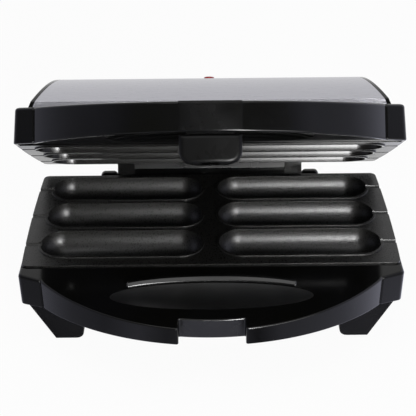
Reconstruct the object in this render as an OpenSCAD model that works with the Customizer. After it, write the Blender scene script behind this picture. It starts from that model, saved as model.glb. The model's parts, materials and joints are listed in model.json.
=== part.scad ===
// Corn dog maker with its lid part open: two cast plates with half-round cavities,
// a bowed handle on the front of each half and a latch that swings on the lid.

/* [Cooking plates] */
// Rows of cavities from front to back
rows = 3; // [2:1:4]
// Distance between the rows
row_pitch = 35; // [34:0.5:42]
// Radius of a half-round cavity
cavity_r = 14.75; // [11:0.25:15]
// Length of a cavity from tip to tip
cavity_len = 109; // [95:1:125]
// Flat land between the left and right cavities
centre_land = 11.5; // [9:0.5:20]
// Width of the raised rim round a cavity
rim_w = 1.5; // [1:0.1:1.9]
// Height of the raised rim
rim_h = 0.8; // [0.4:0.1:1.2]
// Radius of the groove that a stick lies in
stick_r = 2.1; // [1.5:0.1:2.5]
// Wall of the cast plates
plate_t = 2.4; // [2:0.1:3]
// Plate from a cavity's outer tip to the side edge
plate_side = 9.5; // [9:0.5:14]
// Plate in front of the front row's axis
plate_front = 24.3; // [22:0.1:30]
// Plate behind the rear row's axis
plate_back = 20; // [19:0.5:26]
// Corner radius of the plates
plate_corner_r = 4; // [2:0.5:7]
// Bulge of the plates' side edges
plate_bow = 1.3; // [0.5:0.1:2]
// Gap between the closed plates
parting_gap = 0.6; // [0.4:0.1:1.2]

/* [Housing] */
// Height from the table to the top of the lower plate
stand_h = 54.6; // [52:0.1:64]
// Wall of the plastic mouldings
wall = 2.6; // [2:0.1:3.2]
// Housing beyond the plate's side edges
side_margin = 1.25; // [0.5:0.05:4]
// Housing behind the plate's back edge
rear_margin = 2.5; // [1.5:0.1:5]
// Drop from the lower plate's top to the handle's top
rim_drop = 2; // [1.5:0.1:3]
// Height of the band along the sides
band_h = 23.2; // [21:0.1:27]
// Corner radius of the band
corner_r = 4; // [2:0.5:6]
// Thickness of the underside covers
cover_t = 2.4; // [2:0.1:3]
// Depth of the lower tray below the band
tray_h = 17; // [15:0.5:19]
// Tray wall in from the band's side
tray_inset = 13; // [11:0.5:17]

/* [Handles] */
// Reach of the handles in front of the plates
handle_reach = 65.3; // [55:0.1:80]
// Depth of the bowed front, from its ends to the middle
bow_depth = 50.2; // [46:0.1:54]
// Reach of the corner blocks in front of the plates
block_reach = 8.7; // [7:0.1:12]
// Width of a corner block
block_w = 15.5; // [13:0.5:19]
// Height of the base's band at the front centre
base_nose_h = 12.3; // [10:0.1:16]
// Height of the lid's band at the front centre
lid_nose_h = 17.8; // [15:0.1:20]
// Droop of the lid's handle at the front centre
lid_nose_drop = 1.1; // [0.5:0.1:1.2]
// Reach of the lid's corner blocks in front of the plates
lid_block_reach = 11.7; // [9:0.1:13]
// Length of the oval finger dish
dish_len = 128; // [100:1:140]
// Width of the finger dish
dish_w = 27; // [20:0.5:32]
// Depth of the base's finger dish
dish_depth = 3.2; // [2:0.1:4]
// Distance from the dish's centre to the front of the bow
dish_back = 33.4; // [30:0.1:38]
// Width of the lid's finger dish
lid_dish_w = 45; // [36:0.5:46]
// Depth of the lid's finger dish
lid_dish_depth = 5; // [3:0.1:6]
// Distance from the lid's dish to the front of the bow
lid_dish_back = 38; // [37:0.1:39]
// Thickness of the guard rib behind the dish
rib_t = 4.6; // [3:0.1:6]
// Height of the guard rib
rib_h = 2.8; // [1.5:0.1:3]
// Length of the guard rib
rib_len = 108; // [80:1:112]

/* [Lid] */
// Opening angle of the lid as it stands
lid_open = 36.5; // [0:0.5:90]
// Height of the domed cover above the lower plate
dome_top = 54.3; // [50:0.1:62]
// Radius of the dome from front to back
dome_r = 107; // [100:0.5:130]
// Crest of the dome behind the middle of the plates
dome_shift = 8.9; // [0:0.1:12]
// Dome's front edge in front of the plates
dome_front = 3.7; // [2:0.1:6]
// Lid's side in from the base's side
lid_inset = 1.6; // [0:0.1:2.5]
// Draft of the lid's sides over the height of the band
lid_draft = 0.9; // [0.2:0.1:1.2]
// Ledge between the band's side and the dome's foot
ledge_w = 7; // [6:0.1:14]
// Lean of the dome's sides, sideways for each unit of height
side_lean = 0.4; // [0.2:0.02:0.5]
// Black trim beside the steel cover
trim_w = 2.5; // [2:0.1:5]
// Thickness of the steel cover
skin_t = 0.7; // [0.5:0.1:1]
// Radius of the lamp's lens
lens_r = 3.6; // [2.5:0.1:5]
// Height of the lens above the cover
lens_h = 2.4; // [1.5:0.1:4]

/* [Hinge and latch] */
// Hinge axis behind the housing's rear wall
hinge_back = 6.7; // [6.6:0.1:9]
// Hinge axis below the lower plate's top
hinge_drop = 8.9; // [8:0.1:11]
// Radius of the hinge knuckles
knuckle_r = 6; // [5:0.1:6]
// Inner end of the lid's knuckles, from the middle
knuckle_x = 57; // [40:0.5:70]
// Width of each knuckle
knuckle_w = 12.8; // [10:0.1:16]
// Radius of the round at the ends of the base's knuckles
knuckle_round_r = 3.4; // [2:0.1:3.8]
// Width of the grooves that set off the lid's knuckles
groove_w = 0.8; // [0.4:0.1:1.2]
// Depth of those grooves
groove_d = 0.7; // [0.4:0.1:1]
// Radius of the hinge pins
hinge_pin_r = 2; // [1.5:0.1:2.5]
// Width of the latch
latch_w = 36.6; // [28:0.1:44]
// Length of the latch below the closed plates
latch_len = 19.9; // [19.7:0.1:22]
// Thickness of the latch
latch_t = 4.6; // [4:0.1:5]
// Height of the panel over the latch above the band's face
panel_t = 0.4; // [0.2:0.1:0.6]
// Radius of the latch's lower corners
latch_corner_r = 8; // [4:0.5:10]
// Latch pivot behind the front of the bow
pivot_back = 5.4; // [5.2:0.1:6]
// Latch pivot above the lid's lower edge
pivot_up = 3.4; // [3.2:0.1:4]
// Radius of the latch's barrel
barrel_r = 2.9; // [2.6:0.1:3]
// Radius of the latch pin
latch_pin_r = 1.25; // [1:0.05:1.5]
// Depth of the notch that the latch drops into
notch_d = 9.6; // [9:0.1:12]
// Side clearance of the latch in the notch
notch_play = 2.2; // [1.5:0.1:4]

/* [Feet] */
// Depth of a leg from front to back
leg_d = 22; // [16:1:28]
// Width of a leg's sole
sole_w = 15; // [13:0.5:20]
// Slant of a leg's outer face, sideways from top to sole
leg_slant = 15; // [8:0.5:18]
// Leg's outer face in from the band's side
leg_inset = 5.5; // [4:0.5:8]
// Radius of the round between a leg's sole and its inner face
leg_round_r = 5; // [2:0.5:5]
// Radius of a rubber pad
pad_r = 5.5; // [4:0.5:6]
// Thickness of a rubber pad
pad_t = 1.6; // [1.2:0.1:2.4]
// Pad showing below the sole
pad_proud = 0.6; // [0.4:0.1:1]

/* [Inside] */
// Radius of the heating tubes
heater_r = 3.25; // [2.5:0.05:4]
// Thickness of the sheet-metal pieces
sheet_t = 0.8; // [0.6:0.1:1.2]
// Width of a heater clamp
clamp_w = 10; // [8:0.5:14]
// Thickness of a heater clamp
clamp_t = 1.2; // [1:0.1:2]
// Distance of the heater clamps from the middle
clamp_x = 48; // [35:1:55]
// Distance of the reflector's posts from the middle
post_x = 75; // [66:1:84]
// Distance of the cover's tabs from the middle
tab_x = 60; // [45:1:70]
// Distance of the lid's front screws from the middle
top_post_x = 95; // [85:1:102]
// Radius of the thermostat
thermostat_r = 7.5; // [6:0.5:8]
// Height of the thermostat
thermostat_h = 9; // [7:0.5:11]
// Radius of the bore in the cord's gland
gland_bore_r = 3.6; // [3:0.1:3.8]
// Gland to the side of the middle
gland_x = 35; // [20:1:45]
// Radius of the screws' shanks
screw_r = 1.45; // [1.2:0.05:1.8]
// Radius of the screws' heads
screw_head_r = 2.8; // [2.4:0.1:3.4]
// Height of the screws' heads
screw_head_h = 1.8; // [1.4:0.1:2.2]

/* [Hidden] */
$fn = 96;

// Clearances
seat_play = 0.5;
cover_play = 0.2;
screw_play = 0.05;
hole_play = 0.3;
pin_play = 0.02;
running_play = 0.06;
tube_play = 0.1;
swing_play = 0.3;
hook_play = 0.5;

// Plates, measured from the front row's axis and the lower plate's top
cavity_x0 = centre_land / 2 + cavity_r;
cavity_x1 = centre_land / 2 + cavity_len - cavity_r;
plate_x = centre_land / 2 + cavity_len + plate_side;
rear_row = (rows - 1) * row_pitch;
plate_y0 = -plate_front;
plate_y1 = rear_row + plate_back;
seat_z = -rim_h - plate_t;
bulge_z = -cavity_r - plate_t;
valleys = [for (i = [0:rows - 2]) (i + 0.5) * row_pitch];

// Housing
shell_x = plate_x + side_margin;
shell_y1 = plate_y1 + rear_margin;
base_z0 = -rim_drop - band_h;
lid_z1 = parting_gap + band_h;
lid_x = shell_x - lid_inset;
lid_x1 = lid_x - lid_draft;
lid_nose_z0 = parting_gap - lid_nose_drop;
lid_nose_z1 = lid_nose_z0 + lid_nose_h;
lid_block_y = plate_y0 - lid_block_reach;
nose_y = plate_y0 - handle_reach;
block_y = plate_y0 - block_reach;
bow_x = shell_x - block_w;
bow_r = (bow_x * bow_x + bow_depth * bow_depth) / (2 * bow_depth);
bow_cy = nose_y + bow_r;
apron_y1 = plate_y0 - seat_play;
front_wall_y = apron_y1 - wall;
open_x = plate_x - plate_side + plate_t + 0.8;
open_y0 = -cavity_r - plate_t - 0.8;
open_y1 = rear_row - open_y0;
tray_x = shell_x - tray_inset;
tray_y0 = plate_y0 - 2;
tray_y1 = shell_y1 - wall;
tray_z0 = base_z0 - tray_h;
sole_z = pad_proud - stand_h;

// Dome of the lid
dome_cy = (plate_y0 + plate_y1) / 2 + dome_shift;
dome_cz = dome_top - dome_r;
dome_y0 = plate_y0 - dome_front;
dome_foot_x = lid_x1 - ledge_w;
lamp_y = (plate_y0 + plate_y1) / 2;

// Hinge and latch
hinge_y = shell_y1 + hinge_back;
hinge_z = -hinge_drop;
pivot_y = nose_y + pivot_back;
pivot_z = parting_gap + pivot_up;
notch_x = latch_w / 2 + notch_play;
notch_y = nose_y + notch_d;
notch_z = slope_z(notch_y, base_z0, -rim_drop - base_nose_h);
latch_z0 = parting_gap - latch_len;
latch_face_r = bow_r - 0.3;
// The latch's shoulder stays under the band while it swings out
latch_z1 = lid_nose_z0 - 1.2;
barrel_x = latch_w / 2 - 4.3;
ear_t = 3;

// Dish
dish_y = nose_y + dish_back;
lid_dish_y = nose_y + lid_dish_back;

// Inside
heater_z = bulge_z - heater_r - tube_play;
clamp_z = heater_z - heater_r - tube_play;
reflector_z = clamp_z - clamp_t - screw_head_h - 0.5;
reflector_y0 = plate_y0 + 8;
reflector_y1 = plate_y1 - 8;
boss_r = screw_r + 2;
lug_x = plate_x - plate_side - 2.8;
lug_z = -14;
lug_t = 3;
column_x = plate_x - plate_side + 1.7;
column_ys = [valleys[0] - 12.5, valleys[rows - 2] + 9.5];
column_h = 11;
pad_z = -12;
screw_len = 8;
top_posts = [[-top_post_x, plate_y0 + 3], [top_post_x, plate_y0 + 3], [0, plate_y1 - 4]];
top_post_z = 12;
gland_r = gland_bore_r + 1.4;
gland_z = tray_z0 + tray_h / 2 - 0.6;
tab_w = 9;
tab_len = 8;
terminals = 3;
terminal_pitch = 11;
terminal_w = 8;
terminal_d = 16;
terminal_h = 8;
terminal_foot_d = 12;
terminal_foot_h = 4;
terminal_gap = 13.4;

// Where the model stands: the table is z = 0 and the open object is centred on the origin
rear_top = [shell_y1, dome_z(shell_y1)];
back_y = max(hinge_y + knuckle_r, swung(rear_top)[0]);
front_y = bow_y(notch_x);
mid_y = (front_y + back_y) / 2;

// Height of the sloping edge of a band, level behind the blocks and z_nose at the front
function slope_z(y, z_side, z_nose) =
    z_side + (z_nose - z_side) * max(0, (block_y - y) / (block_y - nose_y));

// Height of the dome at y
function dome_z(y) = dome_cz + sqrt(dome_r * dome_r - (y - dome_cy) * (y - dome_cy));

// Half-width of the dome at height z
function dome_x(z) = dome_foot_x - side_lean * (z - lid_z1);

// Front of the bow at x
function bow_y(x) = bow_cy - sqrt(bow_r * bow_r - x * x);

// A point of the closed lid, as [y, z], once the lid has been opened
function swung(p) =
    let (dy = p[0] - hinge_y, dz = p[1] - hinge_z)
    [hinge_y + dy * cos(lid_open) + dz * sin(lid_open),
     hinge_z - dy * sin(lid_open) + dz * cos(lid_open)];

function unit(v) = v / norm(v);

// Arc that rounds the corner p between its neighbours a and b
function fillet(a, p, b, r, n = 6) =
    r == 0 ? [p] :
    let (u = unit(a - p), v = unit(b - p), half = acos(u * v) / 2,
         c = p + unit(u + v) * r / sin(half),
         from = p + u * r / tan(half) - c, to = p + v * r / tan(half) - c,
         start = atan2(from[1], from[0]),
         turn = (atan2(to[1], to[0]) - start + 540) % 360 - 180)
    [for (i = [0:n]) c + r * [cos(start + turn * i / n), sin(start + turn * i / n)]];

// Corner points with a radius at each
function rounded(points, radii) =
    let (n = len(points))
    [for (i = [0:n - 1])
        each fillet(points[(i + n - 1) % n], points[i], points[(i + 1) % n], radii[i])];

// Placing

module stand() { translate([0, -mid_y, stand_h]) children(); }

module lid_pose() {
    stand() translate([0, hinge_y, hinge_z]) rotate([-lid_open, 0, 0])
        translate([0, -hinge_y, -hinge_z]) children();
}

// Turns what is built for the base over for the lid
module flip() { translate([0, 0, parting_gap]) mirror([0, 0, 1]) children(); }

module both_sides() {
    children();
    mirror([1, 0, 0]) children();
}

// Prism along x with its outline in y and z
module along_x(x0, x1) {
    translate([x0, 0, 0]) rotate([90, 0, 90]) linear_extrude(x1 - x0) children();
}

// Prism along y with its outline in x and z
module along_y(y0, y1) {
    translate([0, y1, 0]) rotate([90, 0, 0]) linear_extrude(y1 - y0) children();
}

module rod_x(x0, x1, r) {
    translate([x0, 0, 0]) rotate([0, 90, 0]) cylinder(r = r, h = x1 - x0);
}

// Screw with its head below and its shank pointing up from the origin
module screw(length) {
    translate([0, 0, -screw_head_h]) cylinder(r = screw_head_r, h = screw_head_h);
    cylinder(r = screw_r, h = length);
}

// Cooking plates

// Points along the bowed right side of the plates, corners left out
function plate_side_points(n = 8) =
    let (mid = (plate_y0 + plate_y1) / 2, half = (plate_y1 - plate_y0) / 2)
    [for (i = [1:n - 1]) let (t = 2 * i / n - 1)
        [plate_x + plate_bow * (1 - t * t), mid + half * t]];

module plate_outline() {
    side = plate_side_points();
    n = len(side);
    other = [for (i = [n - 1:-1:0]) [-side[i][0], side[i][1]]];
    none = [for (p = side) 0];
    r = plate_corner_r;
    polygon(rounded(concat([[plate_x, plate_y0]], side, [[plate_x, plate_y1], [-plate_x, plate_y1]],
                           other, [[-plate_x, plate_y0]]),
                    concat([r], none, [r, r], none, [r])));
}

module capsule(r) {
    translate([cavity_x0, 0, 0]) sphere(r);
    translate([cavity_x1, 0, 0]) sphere(r);
    rod_x(cavity_x0, cavity_x1, r);
}

module stadium(r) {
    for (x = [cavity_x0, cavity_x1]) translate([x, 0]) circle(r);
    translate([cavity_x0, -r]) square([cavity_x1 - cavity_x0, 2 * r]);
}

module at_cavities() {
    for (i = [0:rows - 1]) translate([0, i * row_pitch, 0]) both_sides() children();
}

module below(z) {
    translate([-shell_x, nose_y, z - stand_h]) cube([2 * shell_x, shell_y1 - nose_y, stand_h]);
}

module boss(r, z0) { translate([0, 0, z0]) cylinder(r = r, h = seat_z + plate_t / 2 - z0); }

// Places of the bosses that the plate's screws, the clamps' screws and the sensor use
module at_lugs() {
    both_sides() for (y = [valleys[0], valleys[rows - 2]]) translate([lug_x, y, 0]) children();
}

module at_clamp_bosses() {
    for (y = valleys, x = [-clamp_x, clamp_x]) translate([x, y, 0]) children();
}

module at_sensor() { translate([0, valleys[0], 0]) children(); }

module cook_plate() {
    difference() {
        union() {
            translate([0, 0, seat_z]) linear_extrude(plate_t) plate_outline();
            at_cavities() {
                translate([0, 0, seat_z + plate_t / 2])
                    linear_extrude(rim_h + plate_t / 2) stadium(cavity_r + rim_w);
                intersection() {
                    capsule(cavity_r + plate_t);
                    below(seat_z + plate_t / 2);
                }
            }
            at_lugs() boss(boss_r, lug_z);
            at_clamp_bosses() boss(boss_r, clamp_z);
            at_sensor() boss(thermostat_r + 1, pad_z);
        }
        at_cavities() {
            capsule(cavity_r);
            rod_x(cavity_x1, plate_x + plate_bow + 1, stick_r);
        }
        at_lugs() translate([0, 0, lug_z - 1]) cylinder(r = screw_r + screw_play, h = screw_len);
        at_clamp_bosses() translate([0, 0, clamp_z - 1])
            cylinder(r = screw_r + screw_play, h = screw_len);
        at_sensor() translate([0, 0, pad_z - 1])
            cylinder(r = screw_r + screw_play, h = screw_len - 2);
    }
}

module lower_plate() { color("#2b2b2e") stand() cook_plate(); }

module upper_plate() { color("#2b2b2e") lid_pose() flip() cook_plate(); }

// Heaters and what is clamped to the plates

module heater() {
    bend_r = rear_row / 2;
    bend_x = cavity_x1 - bend_r;
    end_x = -cavity_x1;
    translate([0, 0, heater_z]) {
        for (y = [0, rear_row]) translate([0, y, 0]) {
            rod_x(end_x, bend_x, heater_r);
            rod_x(end_x - 7, end_x + 1, heater_r / 2);
        }
        translate([bend_x, bend_r, 0]) rotate([0, 0, -90]) rotate_extrude(angle = 180)
            translate([bend_r, 0]) circle(heater_r);
    }
}

module heater_clamps() {
    for (x = [-clamp_x, clamp_x]) difference() {
        translate([x - clamp_w / 2, -heater_r - 3, clamp_z - clamp_t])
            cube([clamp_w, rear_row + 2 * heater_r + 6, clamp_t]);
        for (y = valleys) translate([x, y, clamp_z - clamp_t - 1])
            cylinder(r = screw_r + hole_play, h = clamp_t + 2);
    }
}

module at_posts() {
    both_sides() for (y = [valleys[0], valleys[rows - 2]]) translate([post_x, y, 0]) children();
}

module reflector() {
    x = post_x + 20;
    lip = 3;
    z = reflector_z - sheet_t;
    difference() {
        translate([-x, reflector_y0, z]) cube([2 * x, reflector_y1 - reflector_y0, sheet_t + lip]);
        translate([-x + sheet_t, reflector_y0 + sheet_t, reflector_z])
            cube([2 * (x - sheet_t), reflector_y1 - reflector_y0 - 2 * sheet_t, lip + 1]);
        at_posts() translate([0, 0, z - 1]) cylinder(r = screw_r + hole_play, h = sheet_t + 2);
        at_sensor() translate([0, 0, z - 1]) cylinder(r = thermostat_r + 2, h = sheet_t + 2);
    }
}

module clamp_screws() { at_clamp_bosses() translate([0, 0, clamp_z - clamp_t]) screw(screw_len - 2); }

module plate_screws() { at_lugs() translate([0, 0, lug_z - lug_t]) screw(lug_t + screw_len - 3); }

module lower_heater() { color("#6e6a66") stand() heater(); }

module upper_heater() { color("#6e6a66") lid_pose() flip() heater(); }

module lower_heater_clamps() { color("#a9abad") stand() heater_clamps(); }

module upper_heater_clamps() { color("#a9abad") lid_pose() flip() heater_clamps(); }

module lower_reflector() { color("#c9ccd0") stand() reflector(); }

module upper_reflector() { color("#c9ccd0") lid_pose() flip() reflector(); }

module lower_clamp_screws() { color("#8d8f92") stand() clamp_screws(); }

module upper_clamp_screws() { color("#8d8f92") lid_pose() flip() clamp_screws(); }

module lower_plate_screws() { color("#8d8f92") stand() plate_screws(); }

module upper_plate_screws() { color("#8d8f92") lid_pose() flip() plate_screws(); }

// Screws that hold a reflector to posts that start below it
module reflector_screws() {
    at_posts() translate([0, 0, reflector_z]) mirror([0, 0, 1]) screw(screw_len - 2);
}

module lower_reflector_screws() { color("#8d8f92") stand() reflector_screws(); }

module upper_reflector_screws() { color("#8d8f92") lid_pose() flip() reflector_screws(); }

// Disc thermostat on a stud in the lower plate
module thermostat() {
    color("#3a3230") stand() at_sensor() {
        translate([0, 0, pad_z - thermostat_h]) cylinder(r = thermostat_r, h = thermostat_h);
        translate([0, 0, pad_z - 0.5]) cylinder(r = screw_r, h = 4.5);
        for (x = [-3.5, 3.5]) translate([x - 0.4, -3, pad_z - thermostat_h - 6]) cube([0.8, 6, 7]);
    }
}

// Thermal fuse in its saddle on a stud in the upper plate
module thermal_fuse() {
    sleeve_r = 2.6;
    color("#d8d2c2") lid_pose() flip() at_sensor() {
        translate([-6, -4, pad_z - 2.2]) cube([12, 8, 2.2]);
        translate([0, 0, pad_z - 0.5]) cylinder(r = screw_r, h = 4.5);
        translate([0, 0, pad_z - 2.2 - sleeve_r + 0.6]) rod_x(-11, 11, sleeve_r);
    }
}

// Plan outline of a half: body, corner blocks and bowed front
module outline(half, front, inset = 0) {
    x = half - inset;
    rear = shell_y1 - inset;
    block = front + inset;
    inner = bow_y(bow_x) + inset;
    r = max(corner_r - inset, 1);
    polygon(rounded([[-x, rear], [-x, block], [-bow_x, inner], [bow_x, inner], [x, block], [x, rear]],
                    [r, r, 0, 0, r, r]));
    intersection() {
        translate([0, bow_cy]) circle(bow_r - inset, $fn = 240);
        translate([-bow_x, nose_y]) square([2 * bow_x, inner + wall - nose_y]);
    }
}

module base_outline(inset = 0) { outline(shell_x, block_y, inset); }

module lid_outline(inset = 0) { outline(lid_x, lid_block_y, inset); }

// Part of an outline in front of the wall under the plates' front edge
module handle_side() {
    intersection() {
        children();
        translate([-shell_x, nose_y]) square([2 * shell_x, front_wall_y - nose_y]);
    }
}

// Part of an outline behind that wall
module body_side() {
    intersection() {
        children();
        translate([-shell_x, apron_y1]) square([2 * shell_x, shell_y1 - apron_y1]);
    }
}

// Everything beyond an edge that is level behind y and slopes to z_nose at the front
module slope_cut(y, z_side, z_nose, away) {
    far = z_side + away;
    extra = 9;
    along_x(-shell_x - 1, shell_x + 1)
        polygon([[shell_y1 + 1, z_side], [y, z_side],
                 [nose_y - extra, z_nose + (z_nose - z_side) * extra / (y - nose_y)],
                 [nose_y - extra, far], [shell_y1 + 1, far]]);
}

// Scooped oval at y that is as deep as given below z
module dish(y, z, width, depth) {
    r = (width * width / 4 + depth * depth) / (2 * depth);
    ring = (dish_len * dish_len / 4 + depth * depth) / (2 * depth);
    span = 2 * asin(dish_len / 2 / ring) + 4;
    translate([0, y, z - depth + ring]) rotate([90, 0, 0]) rotate([0, 0, -90 - span / 2])
        rotate_extrude(angle = span, $fn = 200) intersection() {
            translate([ring - r, 0]) circle(r);
            translate([ring - r, -r]) square([r, 2 * r]);
        }
}

// Plain block that carries a dish under the handle's top
module dish_block(y, z, width, depth) {
    translate([-dish_len / 2 - wall, y - width / 2 - wall, z - depth - wall])
        cube([dish_len + 2 * wall, width + 2 * wall, depth + wall]);
}

function oval(a, b, n = 96) = [for (i = [0:n - 1]) [a * cos(360 * i / n), b * sin(360 * i / n)]];

// Guard rib behind the dish
module guard_rib() {
    gap = 1;
    translate([0, dish_y, -rim_drop - wall / 2]) linear_extrude(rib_h + wall / 2) intersection() {
        difference() {
            polygon(oval(dish_len / 2 + gap + rib_t, dish_w / 2 + gap + rib_t));
            polygon(oval(dish_len / 2 + gap, dish_w / 2 + gap));
        }
        translate([-rib_len / 2, 0]) square([rib_len, dish_w]);
    }
}

// Strip across the front that the latch drops into, grown by g
module notch_outline(g = 0) {
    difference() {
        translate([-notch_x - g, nose_y - 5]) square([2 * (notch_x + g), 5 + notch_d + 5]);
        translate([0, bow_cy]) circle(bow_r - notch_d - g, $fn = 240);
    }
}

// Lugs on the side walls that the plates are screwed to
module plate_lugs(half) {
    at_lugs() translate([-4, -4, lug_z - lug_t]) cube([half - wall / 2 - lug_x + 4, 8, lug_t]);
}

module lug_holes() {
    at_lugs() translate([0, 0, lug_z - lug_t - 1]) cylinder(r = screw_r + hole_play, h = lug_t + 2);
}

module at_columns() { both_sides() for (y = column_ys) translate([column_x, y, 0]) children(); }

// Base

// Knuckles with rounded ends, each on a web from the rear wall that stays below its crown
module base_knuckles() {
    x0 = knuckle_x + knuckle_w + swing_play;
    r = knuckle_round_r;
    step = 0.6;
    web_h = knuckle_r + hinge_pin_r - step;
    both_sides() difference() {
        union() {
            translate([x0, hinge_y, hinge_z]) rotate([0, 90, 0]) rotate_extrude()
                polygon(rounded([[0, 0], [knuckle_r, 0], [knuckle_r, knuckle_w], [0, knuckle_w]],
                                [0, r, r, 0]));
            along_x(x0 + r + step, x0 + knuckle_w - r - step)
                translate([shell_y1 - wall / 2, hinge_z - knuckle_r + step])
                    square([hinge_back + wall / 2, web_h]);
        }
        translate([0, hinge_y, hinge_z]) rod_x(knuckle_x, shell_x, hinge_pin_r + pin_play);
    }
}

module base_housing() {
    under = seat_z - wall;
    color("#17171a") stand() difference() {
        union() {
            difference() {
                translate([0, 0, base_z0]) linear_extrude(-rim_drop - base_z0) base_outline();
                translate([-shell_x - 1, apron_y1, seat_z])
                    cube([2 * shell_x + 2, shell_y1 - apron_y1 + 1, 10]);
                translate([0, 0, base_z0 - 1]) linear_extrude(band_h - wall + 1)
                    handle_side() base_outline(wall);
                translate([0, 0, base_z0 - 1]) linear_extrude(under - base_z0 + 1)
                    body_side() base_outline(wall);
                translate([-open_x, open_y0, under - 1]) cube([2 * open_x, open_y1 - open_y0, wall + 2]);
            }
            dish_block(dish_y, -rim_drop, dish_w, dish_depth);
            guard_rib();
            translate([0, 0, base_z0]) linear_extrude(band_h - wall / 2) intersection() {
                base_outline();
                notch_outline(wall);
            }
            at_columns() {
                translate([0, 0, base_z0]) cylinder(r = boss_r, h = column_h);
                translate([0, -wall / 2, base_z0]) cube([shell_x - wall / 2 - column_x, wall, column_h]);
            }
            plate_lugs(shell_x);
            base_knuckles();
        }
        slope_cut(block_y, base_z0, -rim_drop - base_nose_h, -20);
        dish(dish_y, -rim_drop, dish_w, dish_depth);
        translate([0, 0, base_z0 - 1]) linear_extrude(band_h + 2) notch_outline();
        lug_holes();
        at_columns() translate([0, 0, base_z0 - 1])
            cylinder(r = screw_r + screw_play, h = screw_len + 1);
    }
}

// Plate that closes the handle's underside, snapped in above the band's lower edge
module handle_bottom() {
    lift = 0.8;
    nose = -rim_drop - base_nose_h;
    color("#1d1d1f") stand() intersection() {
        along_x(-shell_x, shell_x)
            polygon([[front_wall_y, base_z0 + lift], [block_y, base_z0 + lift], [nose_y, nose + lift],
                     [nose_y, nose + lift + cover_t], [block_y, base_z0 + lift + cover_t],
                     [front_wall_y, base_z0 + lift + cover_t]]);
        translate([0, 0, base_z0 - 1]) linear_extrude(band_h) difference() {
            handle_side() base_outline(wall + cover_play);
            translate([-shell_x, front_wall_y - cover_play]) square([2 * shell_x, 1]);
            notch_outline(wall + cover_play);
        }
    }
}

function leg_front_ys() = [block_y - 1, shell_y1 - 4 - leg_d];

module leg() {
    x1 = shell_x - leg_inset;
    sole_x1 = x1 - leg_slant;
    sole_x0 = sole_x1 - sole_w;
    inner_x = sole_x0 - 4;
    polygon(rounded([[x1, base_z0], [sole_x1, sole_z], [inner_x, sole_z], [inner_x, base_z0]],
                    [0, 0, leg_round_r, 0]));
}

module at_pads() {
    x = shell_x - leg_inset - leg_slant - sole_w / 2;
    both_sides() for (y = leg_front_ys()) translate([x, y + leg_d / 2, 0]) children();
}

// Tray under the body, with the four legs and the posts of the reflector moulded on
module bottom_cover() {
    lip_x = shell_x - 0.6;
    floor_z = tray_z0 + cover_t;
    post_z1 = reflector_z - sheet_t;
    color("#1b1b1c") stand() difference() {
        union() {
            difference() {
                union() {
                    translate([-lip_x, front_wall_y, base_z0 - cover_t])
                        cube([2 * lip_x, shell_y1 - 0.6 - front_wall_y, cover_t]);
                    translate([-tray_x, tray_y0, tray_z0]) cube([2 * tray_x, tray_y1 - tray_y0, tray_h]);
                    both_sides() for (y = leg_front_ys()) along_y(y, y + leg_d) leg();
                }
                translate([-tray_x + wall, tray_y0 + wall, floor_z])
                    cube([2 * (tray_x - wall), tray_y1 - tray_y0 - 2 * wall, tray_h]);
            }
            at_posts() translate([0, 0, floor_z - cover_t / 2])
                cylinder(r = boss_r, h = post_z1 - floor_z + cover_t / 2);
        }
        at_posts() translate([0, 0, post_z1 - screw_len + 1])
            cylinder(r = screw_r + screw_play, h = screw_len);
        at_columns() translate([0, 0, base_z0 - cover_t - 1])
            cylinder(r = screw_r + hole_play, h = cover_t + 2);
        at_pads() translate([0, 0, sole_z - 1])
            cylinder(r = pad_r + cover_play / 2, h = pad_t - pad_proud + 1);
        translate([gland_x, tray_y1 + 1, gland_z]) rotate([90, 0, 0])
            cylinder(r = gland_r + screw_play, h = wall + 2);
    }
}

module foot_pads() {
    color("#242424") stand() at_pads() translate([0, 0, -stand_h]) cylinder(r = pad_r, h = pad_t);
}

module bottom_screws() {
    color("#8d8f92") stand() at_columns() translate([0, 0, base_z0 - cover_t]) screw(screw_len - 1);
}

// Bush in the rear wall for the mains cord
module cord_gland() {
    flange_t = 2;
    color("#202022") stand() translate([gland_x, tray_y1 + flange_t, gland_z]) rotate([90, 0, 0])
        difference() {
            union() {
                cylinder(r = gland_r + 1.4, h = flange_t);
                cylinder(r = gland_r, h = 2 * flange_t + wall);
            }
            translate([0, 0, -1]) cylinder(r = gland_bore_r, h = 2 * flange_t + wall + 2);
        }
}

// Terminal block on the tray's floor
module terminal_block() {
    x0 = -post_x / 2 - terminals * terminal_pitch / 2;
    y = tray_y1 - wall - terminal_gap - terminal_d / 2;
    color("#e4e0d6") stand() translate([x0, y, tray_z0 + cover_t]) {
        translate([0, -terminal_foot_d / 2, 0])
            cube([terminals * terminal_pitch, terminal_foot_d, terminal_foot_h]);
        for (i = [0:terminals - 1])
            translate([(i + 0.5) * terminal_pitch - terminal_w / 2, -terminal_d / 2, terminal_foot_h / 2])
                cube([terminal_w, terminal_d, terminal_h]);
    }
}

module hinge_pins() {
    color("#9a9ca0") stand() both_sides() translate([0, hinge_y, hinge_z])
        rod_x(knuckle_x + 0.5, knuckle_x + 2 * knuckle_w + swing_play - 0.5, hinge_pin_r);
}

// Lid

// Section of the skirt: a flat wall down from z1 that rolls under the hinge axis
module rolled_skirt(r, t, z1) {
    intersection() {
        translate([hinge_y, hinge_z]) difference() {
            circle(r);
            circle(r - t);
        }
        translate([hinge_y - r, hinge_z - r]) square([r, 2 * r]);
    }
    translate([hinge_y - r, hinge_z]) square([t, z1 - hinge_z]);
}

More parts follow.
